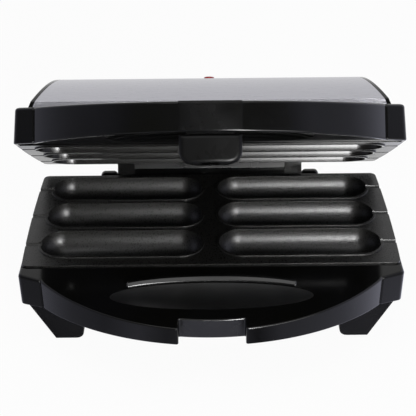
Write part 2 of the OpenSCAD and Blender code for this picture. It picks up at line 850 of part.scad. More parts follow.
// Knuckles of the lid and the rolled skirt between them, as closed; the left knuckle is finely ribbed
module lid_knuckles() {
    skirt_t = 2.2;
    skirt_x = knuckle_x - groove_w;
    root_y = shell_y1 - 1.6;
    arm_y = hinge_y - knuckle_r;
    arm_h = 8;
    rib_pitch = 1.6;
    both_sides() along_x(knuckle_x, knuckle_x + knuckle_w) {
        translate([hinge_y, hinge_z]) circle(knuckle_r);
        translate([arm_y, hinge_z]) square([2 * knuckle_r, parting_gap + arm_h - hinge_z]);
        translate([root_y, parting_gap]) square([arm_y + 1 - root_y, arm_h]);
    }
    along_x(-skirt_x, skirt_x) rolled_skirt(knuckle_r, skirt_t, parting_gap + arm_h / 2);
    along_x(-knuckle_x - 0.5, knuckle_x + 0.5)
        rolled_skirt(knuckle_r - groove_d, skirt_t - groove_d - 0.3, parting_gap + arm_h / 4);
    along_x(-knuckle_x - 1, knuckle_x + 1)
        translate([root_y, parting_gap]) square([arm_y + skirt_t - root_y, arm_h / 2]);
    for (i = [0:3]) translate([-knuckle_x - 0.8 - i * rib_pitch, hinge_y, hinge_z])
        rod_x(-0.4, 0.4, knuckle_r + 0.3);
}

// Ears behind the band's front wall that carry the latch pin, with a bar across them
module latch_ears() {
    x0 = barrel_x + swing_play;
    x1 = x0 + ear_t;
    z1 = lid_nose_z1 - cover_t - 1.2;
    bar_z = pivot_z + barrel_r + swing_play;
    both_sides() along_x(x0, x1) {
        translate([pivot_y, pivot_z]) circle(barrel_r);
        translate([pivot_y - barrel_r, pivot_z]) square([2 * barrel_r, z1 - pivot_z]);
    }
    translate([-x1, nose_y + wall / 2, bar_z])
        cube([2 * x1, pivot_back - wall / 2 + barrel_r, z1 - bar_z]);
}

// Opening under the latch's barrel and the thinner wall in front of it
module latch_pocket() {
    thin = 1.3;
    half = latch_w / 2 + 0.6;
    z0 = lid_nose_z0 - 1;
    translate([0, 0, z0]) linear_extrude(pivot_z + barrel_r + swing_play - z0) intersection() {
        translate([-half, nose_y]) square([2 * half, pivot_back + barrel_r + 1.2]);
        translate([0, bow_cy]) circle(bow_r - thin, $fn = 240);
    }
}

// Panel over the latch, standing slightly proud of the band
module latch_panel() {
    half = latch_w / 2 + 0.2;
    z0 = lid_nose_z0 + 0.8;
    translate([0, 0, z0]) linear_extrude(lid_z1 - z0) intersection() {
        translate([-half, nose_y - 1]) square([2 * half, 5]);
        translate([0, bow_cy]) difference() {
            circle(bow_r + panel_t, $fn = 240);
            circle(bow_r - 1, $fn = 240);
        }
    }
}

module at_top_posts() { for (p = top_posts) translate([p[0], p[1], 0]) children(); }

// Ribs that join those posts to the nearest wall
module top_post_ribs(z1) {
    for (p = top_posts) {
        wall_y = p[1] < 0 ? apron_y1 - wall / 2 : shell_y1 - wall / 2;
        translate([p[0] - wall / 2, min(p[1], wall_y), top_post_z])
            cube([wall, abs(p[1] - wall_y), z1 - top_post_z]);
    }
}

// Everything outside the drafted sides of the lid's band
module lid_draft_cut() {
    both_sides() along_y(nose_y, shell_y1 + 1)
        polygon([[lid_x, parting_gap], [shell_x + 1, parting_gap - 1], [shell_x + 1, lid_z1 + 1],
                 [lid_x1 - lid_draft / band_h, lid_z1 + 1]]);
}

// Band of the lid with the underside of its handle
module lid_frame() {
    floor_z0 = parting_gap + 1.4;
    floor_z1 = floor_z0 + cover_t;
    seat = parting_gap - seat_z;
    under_top = lid_z1 - cover_t - 0.4;
    depth = lid_z1 - lid_nose_z0;
    color("#17171a") lid_pose() difference() {
        union() {
            difference() {
                translate([0, 0, lid_nose_z0]) linear_extrude(depth) lid_outline();
                translate([-shell_x - 1, apron_y1, seat - 20])
                    cube([2 * shell_x + 2, shell_y1 - apron_y1 + 1, 20]);
                translate([0, 0, floor_z1]) linear_extrude(depth) handle_side() lid_outline(wall);
                translate([0, 0, floor_z0 - 10]) linear_extrude(10) handle_side() lid_outline(wall);
                translate([0, 0, seat + wall]) linear_extrude(depth) body_side() lid_outline(wall);
                translate([-open_x, open_y0, seat - 1]) cube([2 * open_x, open_y1 - open_y0, wall + 2]);
                translate([wall - lid_x, front_wall_y - 1, under_top])
                    cube([2 * (lid_x - wall), wall + 2, 10]);
                slope_cut(block_y, parting_gap, lid_nose_z0, -20);
                lid_draft_cut();
            }
            intersection() {
                mirror([0, 0, 1]) dish_block(lid_dish_y, -floor_z0, lid_dish_w, lid_dish_depth);
                linear_extrude(lid_z1) lid_outline(wall / 2);
            }
            latch_ears();
            latch_panel();
            flip() plate_lugs(lid_x1);
            at_top_posts() translate([0, 0, top_post_z])
                cylinder(r = boss_r, h = under_top - top_post_z);
            top_post_ribs(under_top);
            lid_knuckles();
        }
        slope_cut(block_y, lid_z1, lid_nose_z1, 20);
        mirror([0, 0, 1]) dish(lid_dish_y, -floor_z0, lid_dish_w, lid_dish_depth);
        difference() {
            latch_pocket();
            latch_ears();
        }
        translate([0, pivot_y, pivot_z])
            rod_x(-barrel_x - 2 * ear_t, barrel_x + 2 * ear_t, latch_pin_r + pin_play);
        flip() lug_holes();
        at_top_posts() translate([0, 0, top_post_z - 1])
            cylinder(r = screw_r + hole_play, h = under_top);
        both_sides() translate([0, hinge_y, hinge_z])
            rod_x(knuckle_x - 1, knuckle_x + knuckle_w + 1, hinge_pin_r + running_play);
    }
}

// Section of the dome in y and z, drawn in by d
module dome_section(d) {
    intersection() {
        translate([dome_cy, dome_cz]) circle(dome_r - d, $fn = 240);
        translate([dome_y0 + d, lid_z1 - cover_t - 1]) square([shell_y1 - dome_y0 - 2 * d, dome_top]);
    }
}

// Dome drawn in by d in section and by side from its slanted sides
module dome(d, side) {
    z0 = lid_z1 - cover_t - 1;
    z1 = dome_top + 1;
    intersection() {
        along_x(-shell_x, shell_x) dome_section(d);
        along_y(dome_y0 - 1, shell_y1 + 1)
            polygon([[-dome_x(z0) + side, z0], [dome_x(z0) - side, z0],
                     [dome_x(z1) - side, z1], [-dome_x(z1) + side, z1]]);
    }
}

module at_tabs() {
    for (x = [-tab_x, tab_x], y = [valleys[0] - 10, valleys[rows - 2] + 10])
        translate([x, y, dome_z(y) - tab_len]) children();
}

// Dome and the top of the handle, with a recess for the steel cover
module lid_top() {
    plate_z1 = lid_z1 - 0.4;
    plate_z0 = plate_z1 - cover_t;
    drop = lid_nose_z1 - lid_z1;
    color("#141417") lid_pose() difference() {
        union() {
            difference() {
                union() {
                    difference() {
                        translate([0, 0, lid_z1 - band_h]) linear_extrude(band_h)
                            lid_outline(wall + cover_play);
                        slope_cut(block_y, plate_z1, plate_z1 + drop, 20);
                        slope_cut(block_y, plate_z0, plate_z0 + drop, -band_h);
                    }
                    difference() {
                        dome(0, 0);
                        translate([-shell_x, nose_y, 0]) cube([2 * shell_x, shell_y1 - nose_y, plate_z0]);
                        linear_extrude(lid_z1 + cover_play) difference() {
                            translate([-shell_x, nose_y]) square([2 * shell_x, shell_y1 + 1 - nose_y]);
                            lid_outline(wall + cover_play);
                        }
                    }
                }
                dome(skin_t + wall, trim_w + wall);
            }
            intersection() {
                flip() at_posts() translate([0, 0, -2 * dome_top])
                    cylinder(r = boss_r, h = 2 * dome_top + reflector_z - sheet_t);
                dome(skin_t + wall / 2, trim_w);
            }
        }
        difference() {
            dome(-1, trim_w);
            dome(skin_t, 0);
            translate([-shell_x, nose_y, 0]) cube([2 * shell_x, shell_y1 - nose_y, lid_z1]);
        }
        flip() at_posts() translate([0, 0, reflector_z - sheet_t - screw_len + 1])
            cylinder(r = screw_r + screw_play, h = screw_len);
        at_top_posts() translate([0, 0, plate_z0 - 1])
            cylinder(r = screw_r + screw_play, h = cover_t + 0.5);
        at_tabs() translate([-tab_w / 2 - hole_play, -hole_play, 0])
            cube([tab_w + 2 * hole_play, skin_t + 2 * hole_play, 2 * tab_len]);
        translate([0, lamp_y, lid_z1]) cylinder(r = lens_r + hole_play, h = dome_top);
    }
}

// Sheet-steel cover, flush with the trim beside it, with tabs through the dome
module lid_cover() {
    color("#c4c2c8") lid_pose() difference() {
        union() {
            difference() {
                dome(0, trim_w + cover_play);
                dome(skin_t, 0);
                translate([-shell_x, nose_y, 0]) cube([2 * shell_x, shell_y1 - nose_y, lid_z1 + cover_play]);
            }
            intersection() {
                dome(skin_t / 2, trim_w + cover_play);
                at_tabs() translate([-tab_w / 2, 0, 0]) cube([tab_w, skin_t, 2 * tab_len]);
            }
        }
        translate([0, lamp_y, lid_z1]) cylinder(r = lens_r + cover_play, h = dome_top);
    }
}

module lamp_lens() {
    z = dome_z(lamp_y);
    color("#c81e1e") lid_pose() translate([0, lamp_y, z]) {
        translate([0, 0, -skin_t - wall - 1]) cylinder(r = lens_r, h = skin_t + wall + 1 + lens_h / 2);
        translate([0, 0, -skin_t - wall - 2.5]) cylinder(r = lens_r + 2, h = 1.8);
    }
}

module lamp_holder() {
    z = dome_z(lamp_y) - skin_t - wall - 2.5;
    color("#222224") lid_pose() translate([0, lamp_y, z - 10]) cylinder(r = lens_r + 1, h = 10);
}

module lid_top_screws() {
    color("#8d8f92") lid_pose() at_top_posts() translate([0, 0, top_post_z])
        screw(lid_z1 - top_post_z - 1.2);
}

module latch_pin() {
    color("#9a9ca0") lid_pose() translate([0, pivot_y, pivot_z])
        rod_x(-barrel_x - swing_play - ear_t, barrel_x + swing_play + ear_t, latch_pin_r);
}

// Latch, in line with the band, with a hook that goes under the notch's wall
module latch() {
    top = latch_z1;
    half = latch_w / 2;
    hook_y = notch_y - hook_play;
    hook_z = notch_z - 1.4;
    neck = 3.2;
    color("#161618") lid_pose() difference() {
        union() {
            intersection() {
                translate([0, 0, latch_z0]) linear_extrude(top - latch_z0) intersection() {
                    difference() {
                        translate([0, bow_cy]) circle(latch_face_r, $fn = 240);
                        translate([0, bow_cy]) circle(latch_face_r - latch_t, $fn = 240);
                    }
                    translate([-half, nose_y]) square([2 * half, 3 * latch_t]);
                }
                along_y(nose_y - 1, nose_y + 30)
                    polygon(rounded([[-half, top], [half, top], [half, latch_z0], [-half, latch_z0]],
                                    [0, 0, latch_corner_r, latch_corner_r]));
            }
            translate([0, pivot_y, pivot_z]) rod_x(-barrel_x, barrel_x, barrel_r);
            translate([-barrel_x, pivot_y - neck / 2, top - 3]) cube([2 * barrel_x, neck, pivot_z - top + 3]);
            along_x(-half + latch_corner_r, half - latch_corner_r)
                polygon([[nose_y + latch_t - 1, latch_z0], [hook_y - 1, latch_z0], [hook_y, latch_z0 + 1],
                         [hook_y, hook_z], [nose_y + latch_t - 1, hook_z]]);
        }
        translate([0, pivot_y, pivot_z]) rod_x(-barrel_x - 1, barrel_x + 1, latch_pin_r + running_play);
    }
}

base_housing();
handle_bottom();
bottom_cover();
foot_pads();
lower_plate();
lower_heater();
lower_heater_clamps();
lower_reflector();
thermostat();
terminal_block();
cord_gland();
bottom_screws();
lower_plate_screws();
lower_clamp_screws();
lower_reflector_screws();
hinge_pins();
lid_frame();
lid_top();
lid_cover();
upper_plate();
upper_heater();
upper_heater_clamps();
upper_reflector();
thermal_fuse();
lamp_lens();
lamp_holder();
lid_top_screws();
upper_plate_screws();
upper_clamp_screws();
upper_reflector_screws();
latch_pin();
latch();
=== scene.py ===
import json
import math

import bmesh
import bpy
from mathutils import Matrix, Vector
from mathutils.geometry import tessellate_polygon


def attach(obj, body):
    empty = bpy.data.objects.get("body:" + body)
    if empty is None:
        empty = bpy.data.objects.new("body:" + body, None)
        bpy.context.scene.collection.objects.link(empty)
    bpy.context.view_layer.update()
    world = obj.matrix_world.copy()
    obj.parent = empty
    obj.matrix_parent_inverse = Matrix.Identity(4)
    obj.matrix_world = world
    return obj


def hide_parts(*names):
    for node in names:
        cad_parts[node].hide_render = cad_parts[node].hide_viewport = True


MM = 0.001

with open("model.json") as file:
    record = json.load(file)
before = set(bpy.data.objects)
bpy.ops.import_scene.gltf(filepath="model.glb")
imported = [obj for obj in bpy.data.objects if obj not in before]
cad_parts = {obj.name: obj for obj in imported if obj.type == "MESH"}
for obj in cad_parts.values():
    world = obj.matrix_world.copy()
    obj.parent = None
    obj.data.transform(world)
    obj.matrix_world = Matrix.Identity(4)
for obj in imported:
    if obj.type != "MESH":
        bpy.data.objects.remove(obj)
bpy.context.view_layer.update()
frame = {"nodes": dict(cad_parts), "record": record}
nodes = frame["nodes"]
scene = bpy.context.scene
scene.view_settings.view_transform = "Standard"


def add_object(name, data):
    made = bpy.data.objects.new(name, data)
    scene.collection.objects.link(made)
    return made


# Materials
EVEN = (1, 1, 1)
BEVEL_SAMPLES = 8
# Sockets of a colour mix, which share their names with those of its other kinds
MIX_FACTOR, MIX_FIRST, MIX_SECOND, MIX_RESULT = 0, 6, 7, 2


class Graph:
    """A material's node tree with short calls to add and link nodes."""

    def __init__(self, name):
        self.material = bpy.data.materials.new(name)
        self.material.use_nodes = True
        self.nodes = self.material.node_tree.nodes
        self.links = self.material.node_tree.links
        self.shader = self.nodes["Principled BSDF"]

    def add(self, kind, **settings):
        made = self.nodes.new(kind)
        for key, value in settings.items():
            setattr(made, key, value)
        return made

    def link(self, output, target):
        self.links.new(output, target)

    def set(self, **values):
        """Values on the shader's own sockets, with _ for the spaces in their names."""
        for key, value in values.items():
            self.shader.inputs[key.replace("_", " ")].default_value = value

    def place(self, stretch=EVEN):
        """Object coordinates in metres, stretched."""
        coordinates = self.add("ShaderNodeTexCoord")
        mapping = self.add("ShaderNodeMapping")
        mapping.inputs["Scale"].default_value = stretch
        self.link(coordinates.outputs["Object"], mapping.inputs["Vector"])
        return mapping.outputs["Vector"]

    def noise(self, scale, detail=2.0, stretch=EVEN, roughness=0.5):
        """Noise with about scale grains in a metre."""
        texture = self.add("ShaderNodeTexNoise")
        texture.inputs["Scale"].default_value = scale
        texture.inputs["Detail"].default_value = detail
        texture.inputs["Roughness"].default_value = roughness
        self.link(self.place(stretch), texture.inputs["Vector"])
        return texture.outputs["Fac"]

    def span(self, value, low, high, from_low=0.3, from_high=0.7):
        """value carried from its own range to low..high."""
        ranged = self.add("ShaderNodeMapRange")
        ranged.inputs["From Min"].default_value = from_low
        ranged.inputs["From Max"].default_value = from_high
        ranged.inputs["To Min"].default_value = low
        ranged.inputs["To Max"].default_value = high
        self.link(value, ranged.inputs["Value"])
        return ranged.outputs["Result"]

    def blend(self, factor, first, second):
        mixed = self.add("ShaderNodeMix", data_type="RGBA")
        mixed.inputs[MIX_FIRST].default_value = (*first, 1)
        mixed.inputs[MIX_SECOND].default_value = (*second, 1)
        self.link(factor, mixed.inputs[MIX_FACTOR])
        return mixed.outputs[MIX_RESULT]

    def surface(self, height, depth_mm, edge_mm):
        """Fine relief on a surface whose edges are softened by edge_mm."""
        relief = self.add("ShaderNodeBump")
        relief.inputs["Distance"].default_value = depth_mm * MM
        self.link(height, relief.inputs["Height"])
        if edge_mm:
            soft = self.add("ShaderNodeBevel", samples=BEVEL_SAMPLES)
            soft.inputs["Radius"].default_value = edge_mm * MM
            self.link(soft.outputs["Normal"], relief.inputs["Normal"])
        self.link(relief.outputs["Normal"], self.shader.inputs["Normal"])

    def colour(self, output):
        self.link(output, self.shader.inputs["Base Color"])

    def roughness(self, output):
        self.link(output, self.shader.inputs["Roughness"])


CLOUD_SCALE, CLOUD_DETAIL = 22, 3
GLOSS_SCALE, GLOSS_DETAIL, GLOSS_STRETCH = 60, 4, (1, 0.35, 1)


def moulded(name, dark, light, rough, spread, grain, depth, specular, edge):
    """Moulded plastic: faint cloudiness in colour and gloss, and a fine grain."""
    graph = Graph(name)
    graph.set(Specular_IOR_Level=specular)
    cloud = graph.noise(CLOUD_SCALE, CLOUD_DETAIL)
    graph.colour(graph.blend(graph.span(cloud, 0, 1), dark, light))
    gloss = graph.noise(GLOSS_SCALE, GLOSS_DETAIL, GLOSS_STRETCH)
    graph.roughness(graph.span(gloss, rough - spread, rough + spread))
    graph.surface(graph.noise(grain), depth, edge)
    return graph.material


COATING_DARK, COATING_LIGHT = (0.006, 0.0058, 0.0052), (0.03, 0.029, 0.028)
SPECK_SCALE, SPECK_RANGE = 1400, (0.12, 0.3)
PATCH_SCALE, PATCH_DETAIL, PATCH_RANGE = 420, 1, (0.5, 0.7)
COATING_GRAIN = 1050
PEEL_SCALE, PEEL_DETAIL = 850, 3
HAZE_ROUGHNESS = 0.45


def coated(name, rough, uneven, peel, specular, haze, edge):
    """Black non-stick coating: patches of lighter specks, uneven gloss, orange peel and a dull haze."""
    graph = Graph(name)
    graph.set(Specular_IOR_Level=specular, Coat_Weight=haze, Coat_Roughness=HAZE_ROUGHNESS)
    cells = graph.add("ShaderNodeTexVoronoi")
    cells.inputs["Scale"].default_value = SPECK_SCALE
    graph.link(graph.place(), cells.inputs["Vector"])
    specks = graph.span(cells.outputs["Distance"], 1, 0, *SPECK_RANGE)
    patches = graph.span(graph.noise(PATCH_SCALE, PATCH_DETAIL), 0, 1, *PATCH_RANGE)
    both = graph.add("ShaderNodeMath", operation="MULTIPLY")
    graph.link(specks, both.inputs[0])
    graph.link(patches, both.inputs[1])
    graph.colour(graph.blend(both.outputs[0], COATING_DARK, COATING_LIGHT))
    grain = graph.noise(COATING_GRAIN)
    graph.roughness(graph.span(grain, rough * (1 - uneven), rough * (1 + uneven)))
    graph.surface(graph.noise(PEEL_SCALE, PEEL_DETAIL), peel, edge)
    return graph.material


METAL_DETAIL, METAL_CONTRAST, METAL_EDGE = 4, 0.6, 0.2


def metal(name, dark, light, rough, spread, stretch, scale, depth):
    """Sheet, tube or turned metal; a stretch under 1 draws its grain out."""
    graph = Graph(name)
    graph.set(Metallic=1.0)
    grain = graph.noise(scale, METAL_DETAIL, stretch, METAL_CONTRAST)
    graph.colour(graph.blend(graph.span(grain, 0, 1), dark, light))
    graph.roughness(graph.span(grain, rough - spread, rough + spread))
    graph.surface(grain, depth, METAL_EDGE)
    return graph.material


LENS_DEEP, LENS_BRIGHT = (0.34, 0.006, 0.006), (0.6, 0.02, 0.015)
SWIRL_SCALE, SWIRL_DEPTH, LENS_EDGE = 300, 0.01, 0.9


def lens(name):
    """Clear red moulding with a slight swirl in its depth of colour."""
    graph = Graph(name)
    graph.set(Roughness=0.08, Coat_Weight=0.6, Coat_Roughness=0.03)
    swirl = graph.noise(SWIRL_SCALE)
    graph.colour(graph.blend(graph.span(swirl, 0, 1), LENS_DEEP, LENS_BRIGHT))
    graph.surface(swirl, SWIRL_DEPTH, LENS_EDGE)
    return graph.material


BLOOM_SCALE, BLOOM_DETAIL, BLOOM_ROUGHNESS = 180, 4, (0.62, 0.82)
PORE_SCALE, PORE_DEPTH, SOFT_EDGE = 2200, 0.03, 0.3


def soft(name, dark, light):
    """Rubber and cast resin: dull, with a fine matt bloom."""
    graph = Graph(name)
    bloom = graph.noise(BLOOM_SCALE, BLOOM_DETAIL)
    graph.colour(graph.blend(graph.span(bloom, 0, 1), dark, light))
    graph.roughness(graph.span(bloom, *BLOOM_ROUGHNESS))
    graph.surface(graph.noise(PORE_SCALE), PORE_DEPTH, SOFT_EDGE)
    return graph.material


BLACK, BLACK_LIGHT = (0.0026, 0.0026, 0.002), (0.0038, 0.0038, 0.0042)


def black(name, **finish):
    """The moulded black of the housing, with a finish of its own for each surface."""
    return moulded(name, BLACK, BLACK_LIGHT, **finish)


gloss_black = black(
    "gloss_black", rough=0.1, spread=0.02, grain=900, depth=0.003, specular=0.21, edge=0.6
)
SLOT_MATERIALS = {
    "gloss_black": gloss_black,
    "matte_black": moulded(
        "matte_black", (0.003, 0.003, 0.0034), (0.005, 0.005, 0.0056),
        rough=0.5, spread=0.06, grain=2600, depth=0.04, specular=0.07, edge=0.6,
    ),
    "nonstick": coated(
        "nonstick", rough=0.33, uneven=0.36, peel=0.03, specular=0.31, haze=0.2, edge=0.3
    ),
    "stainless": metal(
        "stainless", (0.385, 0.383, 0.415), (0.43, 0.427, 0.458),
        rough=0.3, spread=0.04, stretch=(0.03, 1, 1), scale=2400, depth=0.004,
    ),
    "plated_steel": metal(
        "plated_steel", (0.42, 0.42, 0.43), (0.55, 0.55, 0.56),
        rough=0.3, spread=0.05, stretch=EVEN, scale=1200, depth=0.01,
    ),
    "bright_sheet": metal(
        "bright_sheet", (0.66, 0.67, 0.69), (0.78, 0.79, 0.81),
        rough=0.25, spread=0.05, stretch=(0.04, 1, 1), scale=1500, depth=0.01,
    ),
    "heater_sheath": metal(
        "heater_sheath", (0.1, 0.09, 0.085), (0.24, 0.22, 0.21),
        rough=0.42, spread=0.08, stretch=EVEN, scale=500, depth=0.02,
    ),
    "rubber": soft("rubber", (0.012, 0.012, 0.012), (0.022, 0.022, 0.021)),
    "brown_resin": soft("brown_resin", (0.04, 0.026, 0.02), (0.07, 0.046, 0.034)),
    "white_resin": soft("white_resin", (0.68, 0.65, 0.58), (0.8, 0.78, 0.71)),
    "red_lens": lens("red_lens"),
}
crisp_nonstick = coated(
    "crisp_nonstick", rough=0.23, uneven=0.12, peel=0.0, specular=0.34, haze=0.0, edge=0.0
)
grained_black = black(
    "grained_black", rough=0.42, spread=0.04, grain=2400, depth=0.03, specular=0.45, edge=0.0
)
satin_black = black(
    "satin_black", rough=0.24, spread=0.06, grain=1500, depth=0.012, specular=0.13, edge=0.3
)
grip_black = black(
    "grip_black", rough=0.27, spread=0.06, grain=1800, depth=0.012, specular=0.1, edge=0.3
)
skirt_black = black(
    "skirt_black", rough=0.3, spread=0.05, grain=1500, depth=0.004, specular=0.2, edge=0.0
)
under_black = black(
    "under_black", rough=0.45, spread=0.05, grain=1500, depth=0.004, specular=0.12, edge=0.0
)
rib_black = black(
    "rib_black", rough=0.2, spread=0.05, grain=1500, depth=0.006, specular=0.4, edge=0.0
)
bright_black = black(
    "bright_black", rough=0.26, spread=0.06, grain=1500, depth=0.012, specular=0.65, edge=0.3
)

for subpart in frame["record"]["subparts"]:
    mesh = nodes[subpart["node"]].data
    mesh.materials.clear()
    mesh.materials.append(SLOT_MATERIALS[subpart["material_slot"]])
nodes["upper_plate"].data.materials[0] = crisp_nonstick


# Sizes in millimetres: x to the right, y back from the front row's axis, z up from the lower plate
STAND = 54.6
MID_Y = 17.8214
WALL = 2.6
CORNER_R = 4.0
SHELL_X, LID_X = 125.5, 123.9
REAR_Y = 92.5
HINGE_START_Y = REAR_Y + 0.02
APRON_Y, APRON_STEP = -24.8, 0.02
FRONT_WALL_Y = -25.4
OPEN_X, OPEN_Y0, OPEN_Y1 = 118.0, -17.95, 87.95
TOLERANCE = 0.05

# Bowed front edge and the corner blocks at its ends
NOSE_Y = -89.6
BOW_X, BOW_DEPTH = 110.0, 50.2
BOW_R = (BOW_X**2 + BOW_DEPTH**2) / (2 * BOW_DEPTH)
BOW_CY = NOSE_Y + BOW_R
BOW_MARGIN, BOW_STEPS = 2, 44
BLOCK_Y, LID_BLOCK_Y = -33.0, -35.0
BOW_ROUND, LID_ROUND, BLOCK_ROUND = 0.9, 1.5, 2.2
BLOCK_BLEND_X, BLOCK_BLEND_WIDTH = 107, 7
CREASE_ON_BLOCK, CREASE_ON_BOW = 0.9, 0.8
CREASE_BOTTOM_X, CREASE_BOTTOM_Y = 0.15, 0.65
CREASE_EDGE_R, CREASE_BOTTOM_R = 0.4, 0.3

# Base housing; a lip is a list of (inset, drop) pairs
PLATE_SEAT_Z = -3.2
BASE_TOP_Z, BASE_BOTTOM_Z, BASE_NOSE_Z = -2.0, -25.2, -14.3
BASE_LIP_R, BASE_LIP = 0.8, ((0, 0), (0.1, 0.4), (0.4, 0.7), (0.8, 0.8))
BASE_INNER_WALL = 5
NOTCH_X, NOTCH_D = 20.5, 9.6
NOTCH_MOUTH_R, NOTCH_FOOT_R = 1.3, 0.9
NOTCH_MARGIN, NOTCH_DEEPER, NOTCH_STEPS = 0.5, 0.3, 10
DISH_A, DISH_B, DISH_Y, DISH_DEPTH = 64.0, 13.5, -56.2, 3.2

# Guard rib behind the dish; its fall, crest and radii are shares of its width
RIB_T, RIB_H, RIB_GAP, RIB_SINK = 4.6, 2.8, 1.0, 0.5
RIB_HALF, RIB_STRAIGHT, RIB_END_R, RIB_STEPS = 54.0, 52, 1.3, 60
RIB_CREST, RIB_FALL = 0.55, 0.36
RIB_FRONT_R, RIB_CREST_R, RIB_BACK_R = 0.2, 0.33, 0.13

# Lid, drawn closed
HINGE_Y, HINGE_Z, HINGE_ROLL_R = 99.2, -8.9, 4
LID_OPEN = math.radians(36.5)
LID_Z0, LID_Z1 = 0.6, 23.8
LID_NOSE_Z0, LID_NOSE_Z1 = -0.5, 17.3
LID_SEAT_Z, LID_FLOOR_Z = 3.8, 2.0
LID_DRAFT = 0.9
LID_LIP_R, LID_LIP = 0.9, ((0, 0), (0.12, 0.45), (0.45, 0.78), (0.9, 0.9))
LID_INNER_WALL, LID_INNER_EDGE = 3, 0.3
LID_DISH_B, LID_DISH_Y, LID_DISH_DEPTH = 25.2, -51.0, 5.0
LID_DISH_POWER, LID_DISH_STEEP = 3.4, 4
LATCH_POCKET_HALF, LATCH_POCKET_WALL, LATCH_POCKET_STEP = 18.9, 1.3, 0.05

# Skirt of the hinge; its wall is a list of (y, z) points down to the roll under the hinge's axis
KNUCKLE_X = 57.0
SKIRT_X, SKIRT_STRAIGHT, SKIRT_LAP, SKIRT_GROOVE = 56.2, 50, 0.3, 0.6
SKIRT_WALL = ((92.6, 3.6), (93.05, -1.9), (93.25, -2.4), (93.7, -2.8), (95.2, -3.0), (95.2, HINGE_Z))
SKIRT_STEP_Z, SKIRT_STEPS, SKIRT_ROLL_STEPS = -2.2, 10, 8

# Panel over the latch
PANEL_HALF, PANEL_FLAT, PANEL_T = 18.5, 17, 0.4
PANEL_SINK, PANEL_SIDE, PANEL_BEVEL = 0.3, 0.03, 0.25
PANEL_SUNK_Z, PANEL_EDGE_Z, PANEL_FACE_Z = 0.3, 0.32, 0.6
PANEL_EDGE_SHARE, PANEL_STEPS, PANEL_TOP_STEPS = 0.6, 24, 8

# Latch
LATCH_HALF, LATCH_Z0, LATCH_Z1, LATCH_T = 18.3, -19.3, -1.7, 4.6
LATCH_CORNER_R, LATCH_ROUND, LATCH_BACK_ROUND = 8.0, 2.8, 0.6
LATCH_BACK = 0.3
LATCH_COLUMNS, LATCH_ROWS = 24, 20
LATCH_EASED, LATCH_EVEN = 0.55, 0.45
LATCH_HOOK_Y, LATCH_BARREL_Z = -83.3, LATCH_Z1 + 0.1

# Points closer than these become one, and an edge that turns by more than SHARP stays crisp
FINE_WELD, LATCH_WELD, SHELL_WELD = 0.002, 0.01, 0.03
SHARP = math.radians(40)
FACE_WEIGHT = 90


def on_base(x, y, z):
    return Vector((x, y - MID_Y, z + STAND)) * MM


def on_lid(x, y, z):
    """A point of the closed lid, carried round the hinge to where the lid stands open."""
    dy, dz = y - HINGE_Y, z - HINGE_Z
    c, s = math.cos(LID_OPEN), math.sin(LID_OPEN)
    return on_base(x, HINGE_Y + dy * c + dz * s, HINGE_Z - dy * s + dz * c)


def off_base(point):
    return Vector((point.x / MM, point.y / MM + MID_Y, point.z / MM - STAND))


def off_lid(point):
    p = off_base(point)
    dy, dz = p.y - HINGE_Y, p.z - HINGE_Z
    c, s = math.cos(LID_OPEN), math.sin(LID_OPEN)
    return Vector((p.x, HINGE_Y + dy * c - dz * s, HINGE_Z + dy * s + dz * c))


# Mesh building
class Shell:
    """Vertices and faces in the part's own millimetres."""

    def __init__(self, place):
        self.place = place
        self.points = []
        self.faces = []

    def ring(self, points):
        first = len(self.points)
        self.points.extend(Vector(p) for p in points)
        return list(range(first, len(self.points)))

    def bridge(self, one, other, closed=True):
        count = len(one)
        for i in range(count if closed else count - 1):
            j = (i + 1) % count
            self.faces.append((one[i], one[j], other[j], other[i]))

    def loft(self, rings, closed=True):
        made = [self.ring(r) for r in rings]
        for one, other in zip(made, made[1:]):
            self.bridge(one, other, closed)
        return made

    def fill(self, *loops):
        """Flat face over the first loop, in plan, with the others as holes."""
        flat = [i for loop in loops for i in loop]
        plan = [[Vector((self.points[i].x, self.points[i].y, 0)) for i in loop] for loop in loops]
        for triangle in tessellate_polygon(plan):
            self.faces.append(tuple(flat[k] for k in triangle))

    def carry(self, node, back, keep):
        """Faces of a CAD node that keep accepts, given their points in the part's millimetres."""
        source = nodes[node]
        world = [back(source.matrix_world @ v.co) for v in source.data.vertices]
        moved = {}
        for face in source.data.polygons:
            corners = [world[i] for i in face.vertices]
            if keep(corners):
                for i in face.vertices:
                    if i not in moved:
                        moved[i] = len(self.points)
                        self.points.append(world[i])
                self.faces.append(tuple(moved[i] for i in face.vertices))

    def piece(self, name, body, slot, material, replaced=None, weld=FINE_WELD):
        mesh = bpy.data.meshes.new(name)
        mesh.from_pydata([self.place(*p) for p in self.points], [], self.faces)
        work = bmesh.new()
        work.from_mesh(mesh)
        bmesh.ops.remove_doubles(work, verts=work.verts, dist=weld * MM)
        bmesh.ops.recalc_face_normals(work, faces=work.faces)
        work.to_mesh(mesh)
        work.free()
        mesh.shade_smooth()
        mesh.set_sharp_from_angle(angle=SHARP)
        mesh.materials.append(material)
        made = add_object(name, mesh)
        weighted = made.modifiers.new("weighted", "WEIGHTED_NORMAL")
        weighted.keep_sharp = True
        weighted.weight = FACE_WEIGHT
        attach(made, body)
        if replaced:
            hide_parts(replaced)
        return made


def repaint(piece, material, chosen):
    """A second material on the faces that chosen accepts."""
    piece.data.materials.append(material)
    for face in piece.data.polygons:
        if chosen(face):
            face.material_index = 1


# Paths and loops in plan: half the angle from which a corner counts as straight, and the limit of a mitre
STRAIGHT = 1.55
MITRE_LIMIT = 0.5


def between(first, last, count):
    return [first + (last - first) * i / count for i in range(count + 1)]


